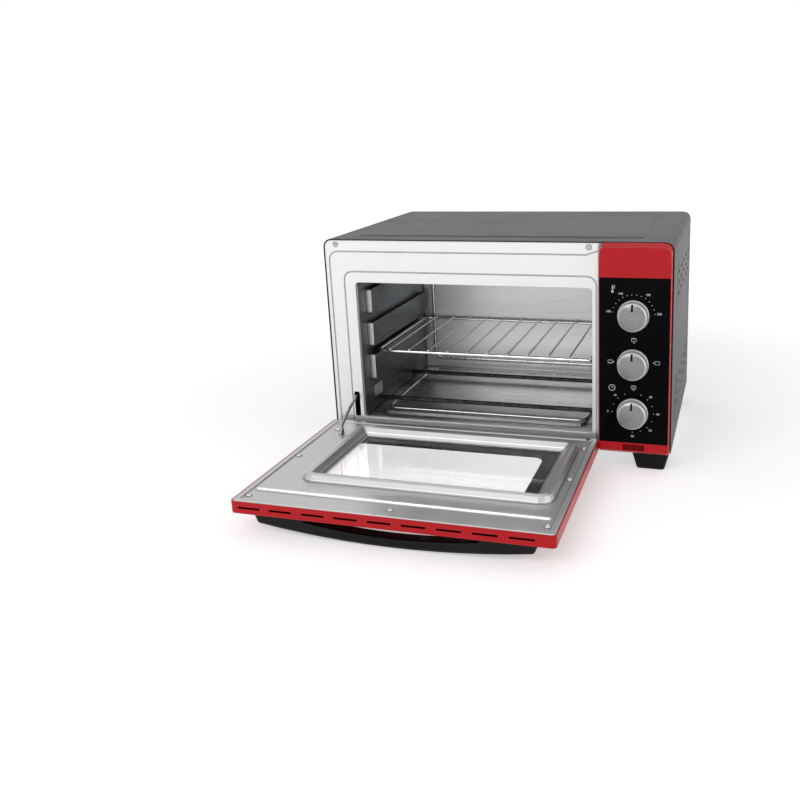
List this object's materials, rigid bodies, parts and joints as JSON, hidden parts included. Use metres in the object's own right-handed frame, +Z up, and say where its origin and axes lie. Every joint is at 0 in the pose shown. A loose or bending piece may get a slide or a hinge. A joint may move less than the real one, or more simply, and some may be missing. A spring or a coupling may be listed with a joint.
{
  "type": "mini oven",
  "caption": "Counter-top electric mini oven with a drop-down glazed door, wire rack, heating rods and a side panel with three turning knobs.",
  "frame": {"origin": "middle of the footprint of the oven with its door open level, on the surface that the feet stand on", "axes": "+X towards the control panel, +Y from the open door towards the back, +Z up"},
  "size_m": [0.48, 0.603, 0.3082],
  "materials": {
    "casing_paint": "semi-gloss dark grey paint",
    "plated_steel": "plain zinc-plated sheet",
    "frame_steel": "bright satin sheet",
    "cavity_steel": "aluminised sheet",
    "pan_steel": "satin grey pressed sheet",
    "red_paint": "gloss red paint",
    "red_plastic": "gloss red",
    "black_gloss": "deep gloss black",
    "black_plastic": "satin black",
    "knob_silver": "silver metallic paint",
    "dark_steel": "dull plated screws",
    "chrome_wire": "bright chrome wire",
    "ceramic": "off-white ceramic",
    "heater_steel": "oxidised steel sheath",
    "clear_glass": "clear toughened glass",
    "red_lens": "clear red lens"
  },
  "bodies": {
    "root": {"outer_casing": "casing_paint", "base_plate": "plated_steel", "back_plate": "plated_steel", "front_frame": "frame_steel", "frame_screw_left": "dark_steel", "frame_screw_right": "dark_steel", "cavity_left_wall": "cavity_steel", "cavity_right_wall": "cavity_steel", "cavity_back_wall": "cavity_steel", "cavity_floor": "cavity_steel", "cavity_roof": "cavity_steel", "wall_bracket": "plated_steel", "bracket_screw": "plated_steel", "heater_lower_front": "heater_steel", "heater_lower_back": "heater_steel", "heater_upper_front": "heater_steel", "heater_upper_back": "heater_steel", "heat_shield": "plated_steel", "thermostat_body": "ceramic", "function_switch": "black_plastic", "timer_body": "plated_steel", "timer_bell": "plated_steel", "terminal_block": "ceramic", "cord_gland": "black_plastic", "control_fascia": "red_plastic", "control_plate": "black_gloss", "indicator_lens": "red_lens", "indicator_lamp": "ceramic", "foot_front_left": "black_plastic", "foot_front_right": "black_plastic", "foot_back_left": "black_plastic", "foot_back_right": "black_plastic", "hinge_bracket_left": "plated_steel", "hinge_bracket_right": "plated_steel"},
    "door": {"door_shell": "red_paint", "door_inner_pan": "pan_steel", "outer_glass": "clear_glass", "inner_glass": "clear_glass", "glass_retainer": "plated_steel", "door_handle": "black_plastic", "handle_screw_left": "plated_steel", "handle_screw_right": "plated_steel", "hinge_pin_left": "plated_steel", "hinge_pin_right": "plated_steel", "stay_rivet": "plated_steel", "door_screw_1": "dark_steel", "door_screw_2": "dark_steel", "door_screw_3": "dark_steel", "door_screw_4": "dark_steel", "door_screw_5": "dark_steel", "door_screw_6": "dark_steel", "door_screw_7": "dark_steel"},
    "stay": {"stay_arm": "plated_steel"},
    "rack": {"wire_rack": "chrome_wire"},
    "thermostat_control": {"thermostat_knob": "knob_silver", "thermostat_shaft": "plated_steel"},
    "function_control": {"function_knob": "knob_silver", "function_shaft": "plated_steel"},
    "timer_control": {"timer_knob": "knob_silver", "timer_shaft": "plated_steel"}
  },
  "joints": [
    {"name": "door_hinge", "type": "hinge", "parent": "root", "child": "door", "pos_m": [0, -0.0275, 0.033], "axis": [-1, 0, 0], "range_deg": [0, 90]},
    {"name": "stay_pivot", "type": "hinge", "parent": "door", "child": "stay", "pos_m": [-0.2052, -0.0735, 0.05], "axis": [-1, 0, 0], "range_deg": [-36, 0]},
    {"name": "rack_slide", "type": "slide", "parent": "root", "child": "rack", "axis": [0, 1, 0], "range_m": [-0.16, 0]},
    {"name": "thermostat_turn", "type": "hinge", "parent": "root", "child": "thermostat_control", "pos_m": [0.1923, -0.0345, 0.217], "axis": [0, 1, 0], "range_deg": [-100, 100]},
    {"name": "function_turn", "type": "hinge", "parent": "root", "child": "function_control", "pos_m": [0.1923, -0.0345, 0.1535], "axis": [0, 1, 0], "range_deg": [-90, 180]},
    {"name": "timer_turn", "type": "hinge", "parent": "root", "child": "timer_control", "pos_m": [0.1923, -0.0345, 0.088], "axis": [0, 1, 0], "range_deg": [-90, 180]}
  ],
  "couplings": [
    {"joint": "stay_pivot", "follows": "door_hinge", "ratio": -0.4}
  ]
}
